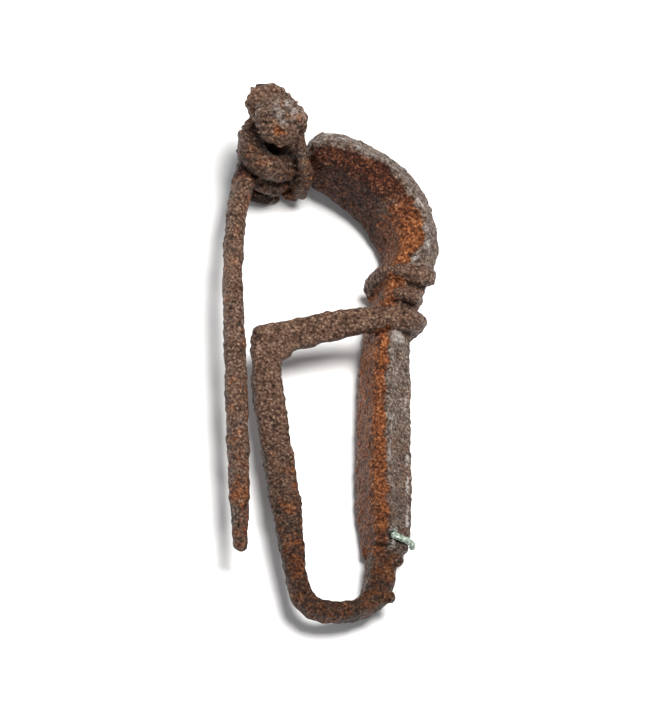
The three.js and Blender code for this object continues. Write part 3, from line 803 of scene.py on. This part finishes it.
def corroded(name):
    """Corroded metal, its colours, painted shade and painted highlights laid out by the skins' layers."""
    g = Graph(name)
    fine = g.noise(*FINE_NOISE)
    mottle = g.noise(*MOTTLE_NOISE)
    grain = g.grains(GRAIN_SIZE)

    def share(layer, sway, begins, full):
        swayed = g.plus(g.layer(layer), g.spread(mottle, *MOTTLE_RANGE, -sway, sway))
        return g.spread(swayed, begins, full)

    tone = g.plus(g.times(fine, TONE_SHARES["fine"]), g.times(mottle, TONE_SHARES["mottle"]))
    tone = g.plus(tone, g.times(g.minus(GRAIN_MIDDLE, grain), TONE_SHARES["grain"]))
    tone = g.plus(g.times(g.minus(tone, TONE_MIDDLE), TONE_CONTRAST), TONE_LEVEL)
    colour = g.blend(share("rust", *RUST_SHARE), g.ramp(tone, BROWN), g.ramp(tone, ORANGE))
    colour = g.blend(share("grey", *GREY_SHARE), colour, g.ramp(tone, GREY))
    # Dark red rust deepened with painted shade.
    colour = g.blend(share("maroon", *MAROON_SHARE), colour, g.ramp(tone, MAROON))
    colour = g.blend(g.layer("green"), colour, g.ramp(tone, GREEN))
    colour = g.blend(g.layer("shade"), colour, BLACK)
    # The hollows are darkened with painted shade.
    colour = g.blend(g.times(g.layer("hollow"), HOLLOW_SHADE_SHARE), colour, HOLLOW_SHADE_COLOUR)
    # Worn crests and painted highlights both take the bare metal colour.
    worn = g.times(g.layer("crest"), g.spread(fine, *WORN["tones"]))
    metal_highlight = g.times(g.layer("silver"), g.spread(fine, *METAL_HIGHLIGHT["tones"]))
    wear_and_highlight = g.math("MAXIMUM", g.times(worn, WORN["share"]), g.times(metal_highlight, METAL_HIGHLIGHT["share"]))
    colour = g.blend(wear_and_highlight, colour, METAL_AND_HIGHLIGHT_COLOUR)

    shader = g.add("ShaderNodeBsdfPrincipled")
    rough = g.spread(fine, *ROUGHNESS["tones"], ROUGHNESS["dull"], ROUGHNESS["glossy"])
    g.feed(shader.inputs["Base Color"], colour)
    g.feed(shader.inputs["Roughness"], rough)
    g.feed(shader.inputs["Specular IOR Level"], g.plus(g.times(wear_and_highlight, BARE_SHEEN), DULL_SHEEN))
    g.feed(shader.inputs["Metallic"], g.times(wear_and_highlight, BARE_METAL))
    bump = g.add("ShaderNodeBump")
    height = g.plus(fine, g.times(g.minus(BUMP["grain_edge"], grain), BUMP["grain"]))
    g.feed(bump.inputs["Height"], height)
    g.feed(bump.inputs["Strength"], BUMP["strength"])
    g.feed(bump.inputs["Distance"], BUMP["depth"] * UNIT)
    g.feed(shader.inputs["Normal"], bump.outputs["Normal"])
    out = g.add("ShaderNodeOutputMaterial")
    g.feed(out.inputs["Surface"], shader.outputs["BSDF"])
    return g.material


FLOOR_COLOUR = (0.86, 0.86, 0.86, 1)
FLOOR_ROUGHNESS = 0.9


def floor_material():
    g = Graph("pale_floor")
    shader = g.add("ShaderNodeBsdfPrincipled")
    g.feed(shader.inputs["Base Color"], FLOOR_COLOUR)
    g.feed(shader.inputs["Roughness"], FLOOR_ROUGHNESS)
    g.feed(shader.inputs["Specular IOR Level"], 0.0)
    out = g.add("ShaderNodeOutputMaterial")
    g.feed(out.inputs["Surface"], shader.outputs["BSDF"])
    return g.material


# ---- The pieces ----

iron = corroded("corroded_iron")
wire = corroded("corroded_iron_wire")
copper = corroded("verdigris")
bow_skin().place("rusted_iron", iron)
spring_skin().place("rusted_iron_wire", wire)
ring_skin().place("green_copper_alloy", copper)

# ---- Camera, floor and light ----

AIM = ORIGIN + Vector((-5.60, -1.111, -2.134))  # what the camera looks at, in drawn millimetres
LOOK_BACK = Vector((-0.2068, -0.5322, 0.8210)).normalized()  # the way from there to the camera
LOOK_UP = Vector((-0.1195, 0.8466, 0.5187))
FRAME_HEIGHT = 87.75  # drawn millimetres from the picture's top to its bottom
LENS = 600.0
SENSOR = 36.0
CLIPPING = (0.2, 4)  # shares of the camera's distance

# Lamps: the way to each as seen by the camera (right, up, towards it), its distance and size in metres, and
# its power.
KEY = {"way": (0.34, 0.6, 0.84), "reach": 0.6, "size": 0.32, "power": 6.6, "colour": (1.0, 0.985, 0.96)}
FILL = {"way": (-0.5, -0.2, 0.9), "reach": 0.7, "size": 0.5, "power": 0.5, "colour": (0.94, 0.97, 1.0)}
FLOOR_SIZE = 6.0
SKY_COLOUR = (0.95, 0.97, 1.0, 1)
SKY_STRENGTH = 0.32

look_right = LOOK_UP.cross(LOOK_BACK).normalized()
look_up = LOOK_BACK.cross(look_right)


def put_camera():
    scene = bpy.context.scene
    data = bpy.data.cameras.new("camera")
    data.lens = LENS
    data.sensor_width = SENSOR
    away = FRAME_HEIGHT * LENS / SENSOR
    data.clip_start = CLIPPING[0] * away * UNIT
    data.clip_end = CLIPPING[1] * away * UNIT
    camera = bpy.data.objects.new("camera", data)
    scene.collection.objects.link(camera)
    turn = Matrix((look_right, look_up, LOOK_BACK)).transposed().to_4x4()
    spot = FLOOR_MIDDLE + (AIM + LOOK_BACK * away) * UNIT
    camera.matrix_world = Matrix.Translation(spot) @ turn
    scene.camera = camera


def put_lamp(name, lamp):
    light = bpy.data.lights.new(name, "AREA")
    light.shape = "DISK"
    light.size = lamp["size"]
    light.energy = lamp["power"]
    light.color = lamp["colour"]
    sideways, upward, toward = lamp["way"]
    way = (look_right * sideways + look_up * upward + LOOK_BACK * toward).normalized()
    holder = bpy.data.objects.new(name, light)
    bpy.context.scene.collection.objects.link(holder)
    where = FLOOR_MIDDLE + way * lamp["reach"]
    holder.matrix_world = Matrix.Translation(where) @ way.to_track_quat("Z", "Y").to_matrix().to_4x4()


def put_floor():
    bpy.ops.mesh.primitive_plane_add(size=FLOOR_SIZE, location=FLOOR_MIDDLE)
    floor = bpy.context.object
    floor.name = "floor"
    floor.data.materials.append(floor_material())


def put_sky():
    world = bpy.data.worlds.new("studio")
    bpy.context.scene.world = world
    world.use_nodes = True
    sky = world.node_tree.nodes["Background"]
    sky.inputs["Color"].default_value = SKY_COLOUR
    sky.inputs["Strength"].default_value = SKY_STRENGTH


put_camera()
put_lamp("key", KEY)
put_lamp("fill", FILL)
put_floor()
put_sky()
bpy.context.scene.view_settings.view_transform = "Standard"
